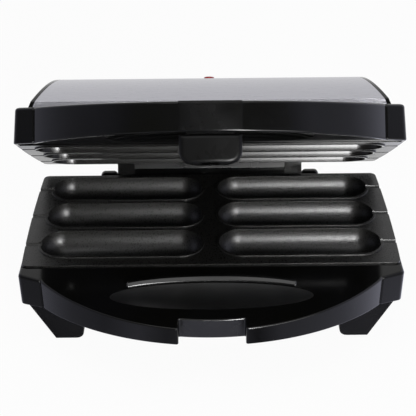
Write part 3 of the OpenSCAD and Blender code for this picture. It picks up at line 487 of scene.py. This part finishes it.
def rounded(corners, steps=8):
    """Open path through (x, y, radius) corners, each turned into an arc unless it is nearly straight."""
    path = [corners[0][:2]]
    for before, at, after in zip(corners, corners[1:], corners[2:]):
        p, radius = Vector(at[:2]), at[2]
        u = (Vector(before[:2]) - p).normalized()
        v = (Vector(after[:2]) - p).normalized()
        half = math.acos(max(-1.0, min(1.0, u.dot(v)))) / 2
        if radius == 0 or half > STRAIGHT:
            path.append(tuple(p))
            continue
        centre = p + (u + v).normalized() * radius / math.sin(half)
        start = p + u * radius / math.tan(half) - centre
        end = p + v * radius / math.tan(half) - centre
        a0 = math.atan2(start.y, start.x)
        turn = (math.atan2(end.y, end.x) - a0 + math.pi) % (2 * math.pi) - math.pi
        for k in range(steps + 1):
            a = a0 + turn * k / steps
            path.append((centre.x + radius * math.cos(a), centre.y + radius * math.sin(a)))
    path.append(corners[-1][:2])
    return path


def mirrored(path):
    """A path from the middle of the rear round the right to the middle of the front, closed on the left."""
    return path + [(-x, y) for x, y in path[-2:0:-1]]


def inset(loop, depth):
    """The loop drawn in by depth, which may be a function of the point."""
    out = []
    for (x0, y0), (x, y), (x1, y1) in zip(loop[-1:] + loop[:-1], loop, loop[1:] + loop[:1]):
        a = Vector((y - y0, x0 - x)).normalized()
        b = Vector((y1 - y, x - x1)).normalized()
        m = (a + b).normalized()
        d = depth(x, y) if callable(depth) else depth
        m = m * d / max(MITRE_LIMIT, m.dot(a))
        out.append((x + m.x, y + m.y))
    return out


def quarter(radius, steps):
    """(inset, drop) pairs of a quarter round, from the flat to the side."""
    for k in range(steps + 1):
        a = math.pi / 2 * k / steps
        yield radius * (1 - math.sin(a)), radius * (1 - math.cos(a))


def ellipse(a, b, y, power=2.0, count=96):
    """An oval loop; a power over 2 makes it squarer."""
    loop = []
    for i in range(count):
        c, s = math.cos(2 * math.pi * i / count), math.sin(2 * math.pi * i / count)
        px = math.copysign(abs(c) ** (2 / power), c)
        py = math.copysign(abs(s) ** (2 / power), s)
        loop.append((a * px, y + b * py))
    return loop


def bow(x, drawn_in=0.0):
    """y of the bowed front edge at x."""
    return BOW_CY - math.sqrt((BOW_R - drawn_in) ** 2 - x * x)


def crease(block_x, block_y):
    """The narrow groove where a corner block meets the bow."""
    corner = Vector((BOW_X, bow(BOW_X)))
    face = (Vector((block_x, block_y)) - corner).normalized()
    x = BOW_X - CREASE_ON_BOW
    return [
        (*(corner + CREASE_ON_BLOCK * face), CREASE_EDGE_R),
        (BOW_X + CREASE_BOTTOM_X, corner.y + CREASE_BOTTOM_Y, CREASE_BOTTOM_R),
        (x, bow(x), CREASE_EDGE_R),
    ]


def side_corners(x, block_y):
    """Corners of an outline from the middle of the rear along the right side to the bow."""
    return [
        (0, REAR_Y, 0),
        (x, REAR_Y, CORNER_R),
        (x, APRON_Y + APRON_STEP, 0),
        (x, APRON_Y - APRON_STEP, 0),
        (x, block_y, CORNER_R),
        *crease(x, block_y),
    ]


def front_part(loop):
    """Indices of a loop's points in front of the step at the plates' front edge."""
    return [i for i, (x, y) in enumerate(loop) if y < APRON_Y]


def rear_part(loop):
    """Indices of the other points, in order from the left round the rear to the right."""
    left = [i for i, (x, y) in enumerate(loop) if y > APRON_Y and x < 0]
    right = [i for i, (x, y) in enumerate(loop) if y > APRON_Y and x >= 0]
    return left + right


def plate_opening(z):
    """The rectangle that a plate closes."""
    corners = ((OPEN_X, OPEN_Y0), (OPEN_X, OPEN_Y1), (-OPEN_X, OPEN_Y1), (-OPEN_X, OPEN_Y0))
    return [(x, y, z) for x, y in corners]


def slope(y, z_side, z_nose):
    """A height that runs level beside the plates and then evenly to z_nose at the front."""
    return z_side + (z_nose - z_side) * max(0.0, (BLOCK_Y - y) / (BLOCK_Y - NOSE_Y))


def edge_round(x, y, small):
    """Radius of the upper edge: small along the bow and beside the plates, larger on the corner blocks."""
    if y > APRON_Y:
        return small
    share = min(1.0, max(0.0, (abs(x) - BLOCK_BLEND_X) / BLOCK_BLEND_WIDTH))
    return small + (BLOCK_ROUND - small) * share * share * (3 - 2 * share)


def rounded_edge(loop, height, small, steps=6):
    """Rings of the loop from the flat top over its rounded edge, height(y) being the top."""
    for d, drop in quarter(1.0, steps):
        drawn = inset(loop, lambda x, y, d=d: d * edge_round(x, y, small))
        yield [
            (px, py, height(y) - drop * edge_round(x, y, small))
            for (px, py), (x, y) in zip(drawn, loop)
        ]


def behind_rear(corners):
    """Whether a CAD face belongs to the hinge behind the rear wall."""
    return max(p.y for p in corners) > HINGE_START_Y


# Base housing
def base_path():
    corners = side_corners(SHELL_X, BLOCK_Y)
    corners += [(x, bow(x), 0) for x in between(BOW_X - BOW_MARGIN, NOTCH_X + BOW_MARGIN, BOW_STEPS)]
    corners += [(NOTCH_X, bow(NOTCH_X), NOTCH_MOUTH_R), (NOTCH_X, bow(NOTCH_X, NOTCH_D), NOTCH_FOOT_R)]
    corners += [(x, bow(x, NOTCH_D), 0) for x in between(NOTCH_X - BOW_MARGIN, 0, NOTCH_STEPS)]
    return mirrored(rounded(corners))


def rim_z(y):
    return BASE_TOP_Z if y < APRON_Y else PLATE_SEAT_Z


def lower_edge_z(y):
    return slope(y, BASE_BOTTOM_Z, BASE_NOSE_Z)


def in_notch(face):
    """Whether a face of the base is part of the notch's back wall."""
    at = off_base(face.center)
    return (
        abs(at.x) < NOTCH_X - NOTCH_MARGIN
        and NOSE_Y < at.y < bow(at.x, NOTCH_D) + NOTCH_DEEPER
        and at.z < BASE_TOP_Z - NOTCH_MARGIN
    )


base_loop = base_path()
base_shell = Shell(on_base)
rings = list(rounded_edge(base_loop, rim_z, BOW_ROUND))
for d, drop in BASE_LIP:
    rings.append([(x, y, lower_edge_z(y) + BASE_LIP_R - drop) for x, y in inset(base_loop, d)])
for rise in (0, BASE_INNER_WALL):
    rings.append([(x, y, lower_edge_z(y) + rise) for x, y in inset(base_loop, WALL)])
top = base_shell.loft(rings)[0]
front = [top[i] for i in front_part(base_loop)]
rear = [top[i] for i in rear_part(base_loop)]
dish_rim = base_shell.ring([(x, y, BASE_TOP_Z) for x, y in ellipse(DISH_A, DISH_B, DISH_Y)])
opening = base_shell.ring(plate_opening(PLATE_SEAT_Z))
base_shell.fill(front, dish_rim)
base_shell.fill(rear, opening)
base_shell.faces.append((front[0], front[-1], rear[0], rear[-1]))
base_shell.carry("base_housing", off_base, behind_rear)
base_piece = base_shell.piece(
    "base_shell", "base", "gloss_black", gloss_black, "base_housing", weld=SHELL_WELD
)
repaint(base_piece, bright_black, in_notch)

BOWL_RINGS = 14


def bowl(name, body, place, a, b, y, z, depth, power, steep, material):
    """Oval dish that ends in a small flat depth from its rim; a higher steep gives a flatter bottom."""
    dish = Shell(place)
    rings = []
    for k in range(BOWL_RINGS):
        share = 1 - k / (BOWL_RINGS - 0.5)
        oval = ellipse(a * share, b * share, y, power)
        rings.append([(px, py, z + depth * (1 - share**steep)) for px, py in oval])
    bottom = dish.loft(rings)[-1]
    dish.faces.append(tuple(bottom))
    dish.piece(name, body, "gloss_black", material)


bowl(
    "finger_dish", "base", on_base, a=DISH_A, b=DISH_B, y=DISH_Y, z=BASE_TOP_Z,
    depth=-DISH_DEPTH, power=2, steep=2, material=grained_black,
)


def behind_dish(x, gap):
    """How far behind the dish's middle a line runs at x that keeps gap from the dish's edge."""
    return (DISH_B + gap) * math.sqrt(1 - (x / (DISH_A + gap)) ** 2)


def rib_station(x, shrink):
    """Section of the guard rib at x, a crown that falls slowly to the front, drawn in at its ends."""
    inner = behind_dish(x, RIB_GAP) + shrink
    outer = behind_dish(x, RIB_GAP + RIB_T) - shrink
    width = outer - inner
    crown = RIB_H - shrink
    corners = [
        (inner, -RIB_SINK, 0),
        (inner, crown - RIB_FALL * width, RIB_FRONT_R * width),
        (inner + RIB_CREST * width, crown, RIB_CREST_R * width),
        (outer, crown, RIB_BACK_R * width),
        (outer, -RIB_SINK, 0),
    ]
    return [(x, DISH_Y + y, BASE_TOP_Z + z) for y, z in rounded(corners, steps=5)]


rib = Shell(on_base)
right_end = [(RIB_HALF - d, drop) for d, drop in quarter(RIB_END_R, steps=6)]
stations = [(-x, drop) for x, drop in reversed(right_end)]
stations += [(x, 0) for x in between(-RIB_STRAIGHT, RIB_STRAIGHT, RIB_STEPS)]
stations += right_end
sections = rib.loft([rib_station(x, drop) for x, drop in stations])
rib.faces += [tuple(sections[0]), tuple(sections[-1])]
rib.piece("guard_rib", "base", "gloss_black", rib_black)


# Lid frame
def lid_path():
    corners = side_corners(LID_X, LID_BLOCK_Y)
    corners += [(x, bow(x), 0) for x in between(BOW_X - BOW_MARGIN, LATCH_POCKET_HALF, BOW_STEPS)]
    corners += [(x, bow(x), 0) for x in between(LATCH_POCKET_HALF - LATCH_POCKET_STEP, 0, NOTCH_STEPS)]
    return mirrored(rounded(corners))


def lid_top_z(y):
    return slope(y, LID_Z1, LID_NOSE_Z1)


def lid_foot_z(y):
    return LID_SEAT_Z if y > APRON_Y else slope(y, LID_Z0, LID_NOSE_Z0)


def drafted(x, z):
    """x drawn in towards the top where the lid's sides lean."""
    over = abs(x) - BOW_X
    if over <= 0:
        return x
    lean = LID_DRAFT * (z - LID_Z0) / (LID_Z1 - LID_Z0)
    return math.copysign(BOW_X + over * (1 - lean / (LID_X - BOW_X)), x)


def lid_ring(depth, height):
    return [(drafted(x, height(y)), y, height(y)) for x, y in inset(lid_loop, depth)]


def pocket_depth(x, y):
    """Thickness of the wall round the lid's front pocket, thinner beside the latch."""
    return LATCH_POCKET_WALL if abs(x) < LATCH_POCKET_HALF and y < FRONT_WALL_Y else WALL


def on_pocket_floor(face):
    points = lid_piece.data.vertices
    return all(abs(off_lid(points[i].co).z - LID_FLOOR_Z) < TOLERANCE for i in face.vertices)


def in_knuckle(corners):
    """Whether a CAD face of the lid's hinge is part of a knuckle."""
    return behind_rear(corners) and min(abs(p.x) for p in corners) > KNUCKLE_X - TOLERANCE


lid_loop = lid_path()
lid_shell = Shell(on_lid)
rings = [
    lid_ring(WALL, lambda y: lid_top_z(y) - LID_INNER_WALL),
    lid_ring(WALL, lambda y: lid_top_z(y) - LID_INNER_EDGE),
    lid_ring(WALL - LID_INNER_EDGE, lid_top_z),
]
for ring in rounded_edge(lid_loop, lid_top_z, LID_ROUND):
    rings.append([(drafted(x, z), y, z) for x, y, z in ring])
for d, drop in LID_LIP:
    rings.append(lid_ring(d, lambda y, drop=drop: lid_foot_z(y) + LID_LIP_R - drop))
foot = lid_shell.loft(rings)[-1]
front = [foot[i] for i in front_part(lid_loop)]
rear = [foot[i] for i in rear_part(lid_loop)]
pocket = [p for p in inset(lid_loop, pocket_depth) if p[1] < FRONT_WALL_Y]
pocket = [(LID_X - WALL, FRONT_WALL_Y)] + pocket + [(WALL - LID_X, FRONT_WALL_Y)]
lid_dish = ellipse(DISH_A, LID_DISH_B, LID_DISH_Y, LID_DISH_POWER)
pocket_mouth = lid_shell.ring([(x, y, lid_foot_z(y)) for x, y in pocket])
pocket_floor = lid_shell.ring([(x, y, LID_FLOOR_Z) for x, y in pocket])
dish_rim = lid_shell.ring([(x, y, LID_FLOOR_Z) for x, y in lid_dish])
opening = lid_shell.ring(plate_opening(LID_SEAT_Z))
lid_shell.bridge(pocket_mouth, pocket_floor)
lid_shell.fill(front, pocket_mouth)
lid_shell.fill(pocket_floor, dish_rim)
lid_shell.fill(rear, opening)
lid_shell.faces.append((front[0], front[-1], rear[0], rear[-1]))
lid_piece = lid_shell.piece(
    "lid_shell", "lid", "gloss_black", gloss_black, "lid_frame", weld=SHELL_WELD
)
repaint(lid_piece, under_black, on_pocket_floor)

knuckles = Shell(on_lid)
knuckles.carry("lid_frame", off_lid, in_knuckle)
knuckles.piece("lid_knuckles", "lid", "gloss_black", rib_black)


def skirt_section(x, deeper):
    """Profile of the skirt between the knuckles: a leaning wall, a step in, and the roll under the axis."""
    section = list(SKIRT_WALL)
    for k in range(1, SKIRT_ROLL_STEPS + 1):
        a = math.radians(180 + 90 * k / SKIRT_ROLL_STEPS)
        section.append((HINGE_Y + HINGE_ROLL_R * math.cos(a), HINGE_Z + HINGE_ROLL_R * math.sin(a)))
    return [(x, y + deeper, z) for y, z in section]


def under_step(face):
    return off_lid(face.center).z < SKIRT_STEP_Z


skirt = Shell(on_lid)
left_end = [(-KNUCKLE_X - SKIRT_LAP, SKIRT_GROOVE), (-SKIRT_X, SKIRT_GROOVE), (-SKIRT_X, 0)]
stations = left_end + [(x, 0) for x in between(-SKIRT_STRAIGHT, SKIRT_STRAIGHT, SKIRT_STEPS)]
stations += [(-x, deeper) for x, deeper in reversed(left_end)]
skirt.loft([skirt_section(x, deeper) for x, deeper in stations], closed=False)
skirt_piece = skirt.piece("hinge_skirt", "lid", "gloss_black", skirt_black)
repaint(skirt_piece, gloss_black, under_step)

bowl(
    "lid_finger_dish", "lid", on_lid, a=DISH_A, b=LID_DISH_B, y=LID_DISH_Y, z=LID_FLOOR_Z,
    depth=LID_DISH_DEPTH, power=LID_DISH_POWER, steep=LID_DISH_STEEP, material=gloss_black,
)


# Panel over the latch
def panel_section(x, out):
    """The band's profile at x, from its foot over its top edge, standing out from it."""
    top = lid_top_z(bow(x)) - LID_ROUND
    radius = LID_ROUND + out
    section = [
        (-PANEL_SINK, PANEL_SUNK_Z),
        (out * PANEL_EDGE_SHARE, PANEL_EDGE_Z),
        (out, PANEL_FACE_Z),
        (out, top),
    ]
    for k in range(1, PANEL_TOP_STEPS):
        a = math.pi / 2 * k / PANEL_TOP_STEPS
        section.append((radius * math.cos(a) - LID_ROUND, top + radius * math.sin(a)))
    return [(x, bow(x, -d), z) for d, z in section]


panel = Shell(on_lid)
right_end = [
    (PANEL_HALF - PANEL_BEVEL, PANEL_T),
    (PANEL_HALF - PANEL_SIDE, PANEL_T / 2),
    (PANEL_HALF, -PANEL_SINK),
]
stations = [(-x, out) for x, out in reversed(right_end)]
stations += [(x, PANEL_T) for x in between(-PANEL_FLAT, PANEL_FLAT, PANEL_STEPS)]
stations += right_end
panel.loft([panel_section(x, out) for x, out in stations], closed=False)
panel.piece("latch_panel", "lid", "gloss_black", satin_black)


# Latch, drawn with the lid closed
def latch_grid(drawn_in, depth):
    """Rows of points over the latch's face, its outline drawn in and the whole set back by depth."""
    z0, z1 = LATCH_Z0 + drawn_in, LATCH_Z1 - drawn_in
    radius = LATCH_CORNER_R - drawn_in
    rows = []
    for t in between(0, 1, LATCH_ROWS):
        eased = 1 - math.cos(math.pi / 2 * t)
        z = z0 + (z1 - z0) * eased * LATCH_EASED + (z1 - z0) * t * LATCH_EVEN
        half = LATCH_HALF - drawn_in
        if z < z0 + radius:
            half += math.sqrt(max(0.0, radius**2 - (z0 + radius - z) ** 2)) - radius
        rows.append([(x, bow(x, LATCH_BACK) + depth, z) for x in between(-half, half, LATCH_COLUMNS)])
    return rows


def rim(rows):
    """Points round the border of a grid, once round."""
    right_side = [row[-1] for row in rows[1:-1]]
    left_side = [row[0] for row in rows[-2:0:-1]]
    return rows[0] + right_side + rows[-1][::-1] + left_side


def in_hook_or_barrel(corners):
    return max(p.y for p in corners) > LATCH_HOOK_Y or max(p.z for p in corners) > LATCH_BARREL_Z


latch = Shell(on_lid)
latch.loft(latch_grid(LATCH_ROUND, 0), closed=False)
latch.loft(latch_grid(LATCH_BACK_ROUND, LATCH_T), closed=False)
front_edge = [rim(latch_grid(d, drop)) for d, drop in quarter(LATCH_ROUND, steps=9)]
back_edge = [rim(latch_grid(d, LATCH_T - drop)) for d, drop in quarter(LATCH_BACK_ROUND, steps=3)]
latch.loft(front_edge + back_edge[::-1])
latch.carry("latch", off_lid, in_hook_or_barrel)
latch.piece("latch_plate", "latch", "gloss_black", grip_black, "latch", weld=LATCH_WELD)


# Camera, as fitted to the photograph
FOCAL_PIXELS = 963.27
IMAGE_PIXELS = 416
SENSOR_MM = 36
ELEVATION = math.radians(32.86)
YAW = math.radians(0.1)
ROLL = math.radians(-0.51)
CAMERA_MM = (-2.65, -551.39, 426.53)
CLIP_START = 0.01

camera = add_object("camera", bpy.data.cameras.new("camera"))
scene.camera = camera
camera.data.sensor_width = SENSOR_MM
camera.data.lens = FOCAL_PIXELS / IMAGE_PIXELS * SENSOR_MM
camera.data.clip_start = CLIP_START
ahead = math.cos(ELEVATION)
forward = Vector((math.sin(YAW) * ahead, math.cos(YAW) * ahead, -math.sin(ELEVATION)))
level = Vector((math.cos(YAW), -math.sin(YAW), 0))
above = level.cross(forward)
right = math.cos(ROLL) * level + math.sin(ROLL) * above
up = math.cos(ROLL) * above - math.sin(ROLL) * level
placed = Matrix((right, up, -forward)).transposed().to_4x4()
placed.translation = Vector(CAMERA_MM) * MM
camera.matrix_world = placed


# Floor and white surroundings
def seen_directly(tree):
    """1 for rays that show the background: from the camera, off gloss or through glass."""
    path = tree.nodes.new("ShaderNodeLightPath")
    total = path.outputs["Is Camera Ray"]
    for name in ("Is Glossy Ray", "Is Transmission Ray"):
        join = tree.nodes.new("ShaderNodeMath")
        join.operation = "MAXIMUM"
        tree.links.new(total, join.inputs[0])
        tree.links.new(path.outputs[name], join.inputs[1])
        total = join.outputs[0]
    return total


FLOOR_HALF = 6.0
FLOOR_WHITE = 0.9
FLOOR_GLOW = 0.95
FILL_LEVEL = 0.35

floor_mesh = bpy.data.meshes.new("floor")
floor_corners = [(x * FLOOR_HALF, y * FLOOR_HALF, 0) for x, y in ((-1, -1), (1, -1), (1, 1), (-1, 1))]
floor_mesh.from_pydata(floor_corners, [], [(0, 1, 2, 3)])
floor = add_object("floor", floor_mesh)
paper = Graph("paper")
paper.set(Base_Color=(FLOOR_WHITE, FLOOR_WHITE, FLOOR_WHITE, 1), Roughness=0.9, Specular_IOR_Level=0.0)
glow = paper.add("ShaderNodeEmission")
glow_share = paper.add("ShaderNodeMath", operation="MULTIPLY")
glow_share.inputs[1].default_value = FLOOR_GLOW
paper.link(seen_directly(paper.material.node_tree), glow_share.inputs[0])
lit_or_glowing = paper.add("ShaderNodeMixShader")
paper.link(glow_share.outputs[0], lit_or_glowing.inputs[0])
paper.link(paper.shader.outputs[0], lit_or_glowing.inputs[1])
paper.link(glow.outputs[0], lit_or_glowing.inputs[2])
paper.link(lit_or_glowing.outputs[0], paper.nodes["Material Output"].inputs["Surface"])
floor_mesh.materials.append(paper.material)

world = bpy.data.worlds.new("studio")
scene.world = world
world.use_nodes = True
tree = world.node_tree
background = tree.nodes["Background"]
background.inputs["Color"].default_value = (1, 1, 1, 1)
strength = tree.nodes.new("ShaderNodeMapRange")
strength.inputs["To Min"].default_value = FILL_LEVEL
strength.inputs["To Max"].default_value = 1.0
tree.links.new(seen_directly(tree), strength.inputs["Value"])
tree.links.new(strength.outputs["Result"], background.inputs["Strength"])

# Soft lamps
AIM = Vector((0, 0, 0.06))


def lamp(name, azimuth, elevation, distance, width, height, watts, mirrored_too=True):
    """A soft box aimed at the object; azimuth 0 is the camera's side, positive to the right."""
    light = bpy.data.lights.new(name, "AREA")
    light.shape = "RECTANGLE"
    light.size = width
    light.size_y = height
    light.energy = watts
    holder = add_object(name, light)
    holder.visible_glossy = mirrored_too
    turn, rise = math.radians(azimuth), math.radians(elevation)
    out = math.cos(rise)
    away = distance * Vector((math.sin(turn) * out, -math.cos(turn) * out, math.sin(rise)))
    holder.location = away + AIM
    holder.rotation_euler = (-away).to_track_quat("-Z", "Y").to_euler()


lamp(
    "key", azimuth=20, elevation=13, distance=1.4, width=0.42, height=0.56, watts=12,
    mirrored_too=False,
)
lamp("top", azimuth=-10, elevation=78, distance=1.5, width=1.0, height=0.8, watts=4)

# Cards that only gloss shows: on the floor and standing round the object
CARD_STEPS = 8
COOL = (0.95, 0.96, 1.16)
NEUTRAL = (1, 1, 1)


def card(name, stops, low, high, tint=NEUTRAL):
    """A band through (azimuth, level) stops, between two (radius, height) pairs in metres."""
    points, levels = [], []
    for (turn, level), (next_turn, next_level) in zip(stops, stops[1:]):
        for share in between(0, 1, CARD_STEPS):
            a = math.radians(turn + (next_turn - turn) * share)
            points += [(r * math.sin(a), -r * math.cos(a), z) for r, z in (low, high)]
            levels += [level + (next_level - level) * share] * 2
    mesh = bpy.data.meshes.new(name)
    mesh.from_pydata(points, [], [(i, i + 2, i + 3, i + 1) for i in range(0, len(points) - 2, 2)])
    mesh.attributes.new("level", "FLOAT", "POINT").data.foreach_set("value", levels)
    made = add_object(name, mesh)
    for rays in ("camera", "diffuse", "transmission", "volume_scatter", "shadow"):
        setattr(made, "visible_" + rays, False)
    graph = Graph(name)
    graph.set(Base_Color=(0, 0, 0, 1), Specular_IOR_Level=0.0, Emission_Color=(*tint, 1))
    glowing = graph.add("ShaderNodeAttribute", attribute_name="level")
    graph.link(glowing.outputs["Fac"], graph.shader.inputs["Emission Strength"])
    mesh.materials.append(graph.material)


FLOOR_NEAR, FLOOR_FAR = (0.1, 0.001), (0.6, 0.001)
SIDE_FOOT, SIDE_TOP = (1.4, 0.0), (1.1, 1.6)
FRONT_FOOT, FRONT_LOW, FRONT_MID, FRONT_TOP = (1.4, 0.0), (1.4, 0.36), (1.4, 0.95), (1.2, 1.45)
SOFTBOX_FOOT, SOFTBOX_TOP = (1.3, 0.03), (1.2, 0.76)

floor_left = [(-125, 0.6), (-76, 0.5), (-60, 0.36), (-44, 0.33), (-30, 0.75), (-18, 0.35), (-12, 0.5)]
floor_right = [(12, 0.5), (18, 0.12), (28, 0.7), (55, 0.78), (76, 1.3), (125, 1.4)]
side_left = [(-130, 0.9), (-100, 0.6), (-80, 0.4), (-62, 0.28), (-52, 0.15)]
side_right = [(52, 0.3), (64, 0.8), (86, 0.85), (100, 1.4), (130, 2.0)]
card("floor_card", floor_left + floor_right, FLOOR_NEAR, FLOOR_FAR, COOL)
card("stand_left", side_left, SIDE_FOOT, SIDE_TOP, COOL)
card("stand_right", side_right, SIDE_FOOT, SIDE_TOP, COOL)
card("stand_front", [(-52, 0.15), (-40, 0.16), (40, 0.16), (52, 0.3)], FRONT_MID, FRONT_TOP)
card("stand_low", [(-52, 0.4), (1, 0.4)], FRONT_FOOT, FRONT_LOW)
card("stand_mid", [(-52, 0.12), (-30, 0.12), (1, 0.12)], FRONT_LOW, FRONT_MID)
card("softbox", [(4, 1), (9, 18), (17, 64), (25, 10), (52, 2)], SOFTBOX_FOOT, SOFTBOX_TOP)
